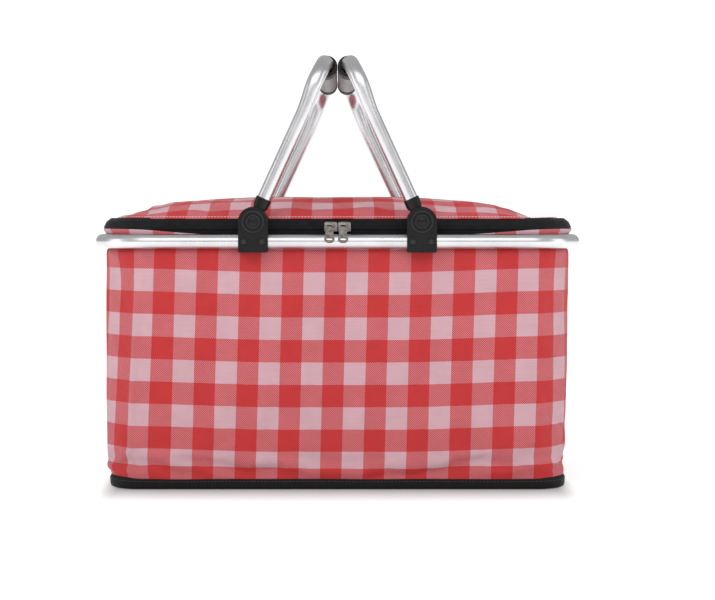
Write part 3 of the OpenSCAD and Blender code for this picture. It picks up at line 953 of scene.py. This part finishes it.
def add_hinge():
    """Fabric behind the zip's ends. It is sewn to the collar and to the lid, and folds between them."""
    left = stations(COLLAR, 5, first=0, last=1, corner_step=2.5, closed=False)
    right = stations(COLLAR, 5, first=7, last=8, corner_step=2.5, closed=False)
    marks = right[:-1] + left
    heights = np.linspace(COLLAR_Z1 - 2 * MM, HEM_Z - 0.6 * MM, 12)
    rows = []
    for z in heights:
        t = (z - heights[0]) / (heights[-1] - heights[0])
        row = []
        for s, f in marks:
            (x, y), (nx, ny) = rounded(s, f, **COLLAR)
            rear = ramp(y, ZIP_END_Y + 6 * MM, COLLAR["b"] - 3 * MM)
            out = -0.9 * MM - 2.2 * MM * t * rear
            out += 0.5 * MM * math.sin(math.pi * t) * rumple(x, y, z, 30, 5.5)
            out -= (LID_DRAW + 2.2 * MM) * t ** 3 * at_ends(x)
            row.append((x + nx * out, y + ny * out, z))
        rows.append(row)
    us = [round_front(Vector(p)) for p in rows[0]]
    # Where the distance changes sign, at the middle of the rear, it goes on upwards
    for i in range(1, len(us)):
        if us[i] < us[i - 1] - 0.3:
            us[i:] = [u + 2 * us[i - 1] for u in us[i:]]
            break
    hinge = grid("hinge_fabric", rows, us, list(heights), closed=False)
    thicken(hinge, THIN_FABRIC, 0.0)
    flare(hinge)
    finish_piece(hinge, "gingham", None, ["hinge_flap"])
    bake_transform(hinge)


def add_zip():
    """Two tapes whose turned-over edges meet in front of the coil, on the lid's side and on the rim's."""
    gap = 0.22 * MM
    roll = 1.5 * MM
    pitch = 1.45 * MM
    tooth = capsule(1.5 * MM, 0.42 * MM)
    up = Vector((0, 0, 1))
    for side, body, far, node in ((1, "lid", HEM_Z - 0.2 * MM, "upper"),
                                  (-1, "rim", foot("zip_tape_lower").z, "lower")):
        near = ZIP_Z + side * gap
        profile = [(-TAPE_IN - 0.75 * MM, near), (-TAPE_IN + 0.3 * MM, near),
                   (-0.5 * MM, near + side * 0.05 * MM),
                   (-0.12 * MM, near + side * 0.45 * MM), (-0.12 * MM, near + side * 1.0 * MM),
                   (-0.5 * MM, near + side * roll), (-TAPE_IN + 0.1 * MM, near + side * (roll + 0.7 * MM)),
                   (-TAPE_IN, near + side * (roll + 1.6 * MM)), (-TAPE_IN + 0.1 * MM, lerp(near, far, 0.6)),
                   (-TAPE_IN, far - side * 0.3 * MM), (-TAPE_IN - 0.3 * MM, far)]
        if side == 1:
            profile += [(-3.6 * MM, far - 1.7 * MM), (-9.0 * MM, far - 1.7 * MM), (-9.0 * MM, far - 2.3 * MM),
                        (-TAPE_IN - 0.9 * MM, far - 2.3 * MM)]
        else:
            profile.append((-TAPE_IN - 0.75 * MM, far))
        tape = sweep("zip_tape_" + node + "_cloth", COLLAR, ZIP_MARKS, profile, closed=False)
        flare(tape)
        finish_piece(tape, "tape", body, ["zip_tape_" + node])
        places = []
        for (x, y), normal, along in walk(COLLAR, ZIP_MARKS, pitch, closed=False):
            shift = along * (0.25 * side * pitch)
            origin = Vector((x - normal.x * 1.05 * MM + shift.x, y - normal.y * 1.05 * MM + shift.y,
                             ZIP_Z + side * 0.45 * MM))
            out = Vector((normal.x, normal.y, 0))
            places.append((origin, up, out, up.cross(out)))
        teeth = scatter("zip_teeth_" + node, *tooth, places)
        flare(teeth)
        finish_piece(teeth, "coil", body, ["zip_coil_" + node])
    seam = sewn_line("zip_stitches_upper", COLLAR, ZIP_MARKS, -TAPE_IN + 0.12 * MM, HEM_Z - 2.4 * MM,
                     2.8 * MM, 0.2 * MM, closed=False)
    flare(seam)
    finish_piece(seam, "black_thread", "lid")


# ---- lid ----

# The crown rises over about this far in from the hem, and is at its full height this far in
CROWN_REACH = 45 * MM
CROWN_FULL = 1 - math.exp(-106 * MM / CROWN_REACH)
# The right end has slumped: its fabric starts to rise this much further in
SLUMP = 22 * MM
LID = {"a": LID_A, "b": LID_B, "r": COLLAR["r"]}


def corner_plan(s, t, a, b, r):
    """Point of a rounded rectangle for s and t from -1 to 1, with the square's corners drawn into arcs."""
    x, y = s * a, t * b
    cx = (abs(x) - (a - r)) / r
    cy = (abs(y) - (b - r)) / r
    if cx > 0 and cy > 0:
        x = math.copysign(a - r + r * cx * math.sqrt(1 - cy * cy / 2), x)
        y = math.copysign(b - r + r * cy * math.sqrt(1 - cx * cx / 2), y)
    return x, y


def crown(s, t):
    """Share of the lid's rise for s and t from -1 to 1."""
    share = 1.0
    for value, half, blunt in ((s, LID_A, 0.10), (t, LID_B, 0.25)):
        depth = half * (math.hypot(1, blunt) - math.hypot(value, blunt))
        if half == LID_A:
            depth -= SLUMP * ramp(value, 0.0, 0.6)
        share *= (1 - math.exp(-max(depth, 0) / CROWN_REACH)) / CROWN_FULL
    return min(share, 1.02)


def crown_height(s, t):
    return HEM_Z + (LID_HIGH.z - HEM_Z - 1.6 * MM) * crown(s, t)


def lid_grid(name, n_x, n_y, a, b, height, ripple):
    """Domed sheet, with height(s, t) and ripple(x, y) added."""
    def place(s, t):
        x, y = corner_plan(s, t, a, b, LID["r"] - (LID_A - a))
        return x, y + LID_Y, height(s, t) + ripple(x, y)

    return sheet(name, n_x, n_y, place)


def edge_depth(x, y):
    """How far a point of the lid's plan is in from its hem."""
    qx, qy = abs(x) - (LID_A - LID["r"]), abs(y) - (LID_B - LID["r"])
    outside = math.hypot(max(qx, 0), max(qy, 0))
    return LID["r"] - outside - min(max(qx, qy), 0)


# Long folds of the lid: both ends in plan from the lid's centre, height of the ridge, and its width,
# in millimetres
LID_FOLDS = [
    (-170, -84, 10, -92, 1.9, 4.0), (-60, -66, 120, -74, 2.1, 5.0), (60, -100, 190, -84, 1.7, 3.6),
    (110, -52, 200, -72, 2.0, 4.5), (-205, -40, -120, -62, 1.6, 5.0), (-120, -104, -40, -108, 1.2, 3.2),
    (-20, -108, 90, -104, 1.2, 3.2), (150, -20, 208, -44, 1.6, 6.0), (-190, 60, -60, 88, 1.6, 6.0),
    (-30, 96, 120, 84, 1.5, 6.0), (90, 50, 190, 76, 1.6, 6.0), (-208, 0, -150, 20, 1.2, 7.0),
]


def ridges(folds, u, v):
    """Height that a list of folds gives at a place. Each fades out towards both of its ends."""
    total = 0.0
    for u0, v0, u1, v1, height, width in folds:
        du, dv = (u1 - u0) * MM, (v1 - v0) * MM
        t = ((u - u0 * MM) * du + (v - v0 * MM) * dv) / (du * du + dv * dv)
        t = min(max(t, 0.0), 1.0)
        gap = math.hypot(u - u0 * MM - t * du, v - v0 * MM - t * dv) / (width * MM)
        total += height * MM * math.exp(-gap * gap) * math.sin(math.pi * (0.15 + 0.7 * t))
    return total


def lid_ripple(x, y):
    depth = edge_depth(x, y)
    window = ramp_mm(depth, 3, 16) * ramp_mm(depth, 75, 35)
    soft = noise.noise(Vector((x / 0.060, (depth + 2 * MM) / 0.0095, 2.0 if y > 0 else 5.0)))
    broad = noise.noise(Vector((x / 0.070, y / 0.070, 3.3)))
    return MM * (1.3 * soft * window + 1.0 * broad * ramp_mm(depth, 6, 40)) + ridges(LID_FOLDS, x, y)


def add_lid():
    n_x, n_y = 110, 76
    lid = lid_grid("lid_fabric", n_x, n_y, LID_A, LID_B, crown_height, lid_ripple)
    drape(lid, lambda p: 1.0 if edge_depth(p.x, p.y - LID_Y) < 1 * MM else 0.05, 1.5 * MM,
          pressure=0.35, shrink=-0.010)

    row = n_x + 1
    edge = [*range(n_x), *range(n_x, n_y * row + n_x, row), *range(n_y * row + n_x, n_y * row, -1),
            *range(n_y * row, 0, -row)]

    def hem(bm):
        """Turns the edge down and back in, ring by ring."""
        bm.verts.ensure_lookup_table()
        ring = [bm.verts[i] for i in edge]
        for out, down in ((0.45, 0.5), (0.15, 0.55), (-0.9, 0.35), (-2.2, -0.3)):
            made = []
            for v in ring:
                n = outward(v.co.x, v.co.y - LID_Y, **LID)
                made.append(bm.verts.new(v.co + (n * (out * MM) - Vector((0, 0, down * MM)))))
            for k in range(len(ring)):
                bm.faces.new((ring[k - 1], ring[k], made[k], made[k - 1]))
            ring = made
        bmesh.ops.recalc_face_normals(bm, faces=bm.faces)

    edit(lid, hem)
    smooth(lid.data)
    lay_cloth(lid, lambda p: (COLUMN_EDGE + (p.x - LID_COLUMN) * LID_STRETCH,
                              ROW_EDGE + SQUARE_V + HEM_TURN + (p.y - LID_LOW.y) + min(p.z - HEM_Z, 0)))
    thicken(lid, THIN_FABRIC, -1.0, divide=True)
    finish_piece(lid, "gingham", "lid", ["lid_outer"])

    marks = stations(LID, 5, corner_step=3)
    seam = sewn_line("hem_stitches", LID, marks, -0.55 * MM, HEM_Z + 0.75 * MM, 3.1 * MM, 0.34 * MM)
    seam.data.transform(Matrix.Translation((0, LID_Y, 0)))
    finish_piece(seam, "pale_thread", "lid")


def add_lid_lining():
    inset = 3.6 * MM
    lip_z = LID_LOW.z - 0.9 * MM
    a, b = LID_A - inset, LID_B - inset

    def height(s, t):
        x, y = corner_plan(s, t, a, b, LID["r"] - inset)
        lip = ramp_mm(edge_depth(x, y), 5, 14)
        return lerp(lip_z, max(crown_height(s, t) - 6.4 * MM, lip_z), lip)

    def wrinkle(x, y):
        crease = rumple(x, y, 0, 20, 1.0) + 0.6 * rumple(x, y, 0, 8, 2.0)
        return 0.5 * MM * crease * ramp_mm(edge_depth(x, y), 4, 12)

    lining = lid_grid("lid_lining", 70, 40, a, b, height, wrinkle)
    thicken(lining, THIN_FABRIC, 1.0, divide=True)
    finish_piece(lining, "foil", "lid", ["lid_insulation", "lid_liner"])


# ---- hoop and handles ----


def add_hoop():
    marks = stations(RIM, 9, corner_step=2.6)
    profile = [(TUBE_R * across, RIM_Z + TUBE_R * up) for across, up in circle(32)]
    hoop = sweep("rim_hoop", RIM, marks, profile)
    finish_piece(hoop, "aluminium", "rim", ["rim_tube"])


def on_handle(side):
    """Places a handle's own frame, with its legs along +Z from the pivots, in the basket's."""
    lean = math.atan2(PIVOT_X - GRIP_X, GRIP_Z - PIVOT_Z)
    return Matrix.Translation((side * PIVOT_X, 0, PIVOT_Z)) @ Matrix.Rotation(-side * lean, 4, "Y")


HANDLE_L = math.hypot(PIVOT_X - GRIP_X, GRIP_Z - PIVOT_Z)
LEG_TOP = HANDLE_L - BEND_R
# The bends are pushed up and out by this much
BEND_LIFT = 2.4 * MM
BEND_BOW = 2.2 * MM


def bail_path():
    """(point in the handle's plane, direction) from one foot to the other."""
    path = []
    for z in np.linspace(FERRULE, LEG_TOP, 26)[:-1]:
        path.append(((-RIM["b"], z), (0, 1)))
    for k in range(17):
        a = math.pi / 2 * k / 16
        path.append(((-RIM["b"] + BEND_R * (1 - math.cos(a)), LEG_TOP + BEND_R * math.sin(a)),
                     (math.sin(a), math.cos(a))))
    for y in np.linspace(BEND_R - RIM["b"], 0, 8)[1:]:
        path.append(((y, HANDLE_L), (1, 0)))
    mirrored = [((-y, z), (dy, -dz)) for (y, z), (dy, dz) in reversed(path[:-1])]
    return path + mirrored


def solid_tube(name, rings):
    """Closed solid through rings of points. Its cloth coordinates are all zero, as it bears no cloth."""
    return weld(grid(name, rings, [0.0] * (len(rings[0]) + 1), [0.0] * len(rings)))


def add_handle(side, name):
    """Bent tube. Its section is oval in the bends, where it is also pushed a little outwards."""
    rows = []
    for (y, z), (dy, dz) in bail_path():
        bend = ramp(z, LEG_TOP - 26 * MM, LEG_TOP + 8 * MM)
        bend *= ramp(abs(y), GRIP_HALF - 8 * MM, GRIP_HALF + 8 * MM)
        wide = HANDLE_R * (1 + 0.15 * bend)
        flat = HANDLE_R * (1 - 0.06 * bend)
        bow = side * BEND_BOW * bend
        lift = BEND_LIFT * bend
        ring = [(bow + wide * c, flat * s) for c, s in circle(28)]
        rows.append([(across, y + dz * inward, z + lift - dy * inward) for across, inward in ring])
    body = "handle_" + name
    tube = solid_tube(body + "_bail", rows)
    tube.data.transform(on_handle(side))
    finish_piece(tube, "aluminium", body, [body + "_tube"])


def lathe(name, outline):
    """Turned solid along Y from (y, radius) points."""
    return solid_tube(name, [[(r * c, y, r * s) for c, s in circle(40)] for y, r in outline])


def add_grip(side, name):
    """Foam sleeve between two end caps."""
    body = "handle_" + name
    cap = 30 * MM
    cap_r = GRIP_R + 0.2 * MM
    bore = HANDLE_R + 0.15 * MM
    place = on_handle(side) @ Matrix.Translation((0, 0, HANDLE_L))
    half = GRIP_HALF - cap
    outline = [(-half, bore), (-half, GRIP_R)]
    for k in range(1, 40):
        y = lerp(-half, half, k / 40)
        outline.append((y, GRIP_R + 0.12 * MM * rumple(y, 0, 0, 22, 2.5 + side)))
    outline += [(half, GRIP_R), (half, bore)]
    grip = lathe(body + "_foam", outline + [outline[0]])
    grip.data.transform(place)
    finish_piece(grip, "grip", body, [body + "_grip"])
    caps = []
    for end in (-1, 1):
        edge = 1.8 * MM
        outline = [(half + 0.02 * MM, bore), (half + 0.02 * MM, GRIP_R - 0.2 * MM), (half + 0.5 * MM, cap_r)]
        for k in range(7):
            a = math.pi / 2 * k / 6
            outline.append((GRIP_HALF - edge + edge * math.sin(a), cap_r - edge + edge * math.cos(a)))
        outline += [(GRIP_HALF, bore), outline[0]]
        caps.append(lathe("cap", [(end * y, r) for y, r in outline]))
    both = join(body + "_grip_ends", caps)
    both.data.transform(place)
    finish_piece(both, "grip_cap", body)


def add_bracket_trim():
    """Half-round rings round the pivots, and domed caps on the rivets, on the outer face of each cover."""
    relief = 0.7 * MM
    sunk = -0.2 * MM
    dome = 1.5 * MM
    faces = ((-1, foot("cover_front_left").y + relief), (1, top("cover_rear_left").y - relief))
    parts = []
    for x, face, outwards in [(side * PIVOT_X, y, out) for out, y in faces for side in (-1, 1)]:
        for middle, half_width, height in ((9.9, 1.0, 1.5), (6.0, 0.9, 1.1)):
            outline = [(sunk, (middle + half_width) * MM)]
            for k in range(9):
                a = math.pi * k / 8
                outline.append((height * MM * math.sin(a) ** 0.9, (middle + half_width * math.cos(a)) * MM))
            outline.append((sunk, (middle - half_width) * MM))
            ring = lathe("ring", outline + [outline[0]])
            parts.append((ring, Vector((x, face, PIVOT_Z)), outwards))
        for side in (-1, 1):
            cap_r = RIVET_HEAD + 0.6 * MM
            outline = [(sunk, cap_r)]
            for k in range(6):
                a = math.pi / 2 * k / 6
                outline.append((dome * math.sin(a), cap_r * math.cos(a)))
            cap = lathe("cap", outline + [(dome, 0.3 * MM)])
            parts.append((cap, Vector((x + side * RIVET_X, face, RIM_Z)), outwards))
    for part, place, outwards in parts:
        part.data.transform(Matrix.Translation(place) @ Matrix.Scale(outwards, 4, (0, 1, 0)))
    trim = join("bracket_trim", [part for part, place, outwards in parts])
    weld(trim, 1e-7, cap=False)
    # The trim's plastic is painted lighter than the covers', as a painted highlight on the rings and rivet
    # domes.
    finish_piece(trim, "trim", "rim")


def soften(node, width):
    """Rounds the edges of a carried-over node."""
    modify(node, "BEVEL", width=width, segments=2, limit_method="ANGLE", angle_limit=math.radians(40))
    smooth(node.data)
    modify(node, "WEIGHTED_NORMAL", keep_sharp=True)


def finish_cad_nodes():
    """Materials and soft edges for carried-over nodes that keep their own shape."""
    finishes = {"bottom": "underside", "base": "board", "slider": "nickel", "pull": "nickel"}
    widths = {"cover": 0.5, "bracket": 0.5, "knuckle": 0.4, "slider": 0.28, "pull": 0.28}
    for name, node in frame["nodes"].items():
        kind = name.split("_")[0]
        finish = "aluminium" if name == "rim_spigot" else finishes.get(kind, "plastic")
        node.data.materials.clear()
        node.data.materials.append(MATERIALS[finish])
        if kind in widths and name != "bracket_rivets":
            soften(node, widths[kind] * MM)


add_camera()
add_stage()
finish_cad_nodes()
add_walls()
add_wall_lining()
add_floor_lining()
add_binding()
add_collar()
add_collar_lining()
add_hinge()
add_zip()
add_lid()
add_lid_lining()
add_hoop()
add_bracket_trim()
for side, name in ((-1, "left"), (1, "right")):
    add_handle(side, name)
    add_grip(side, name)
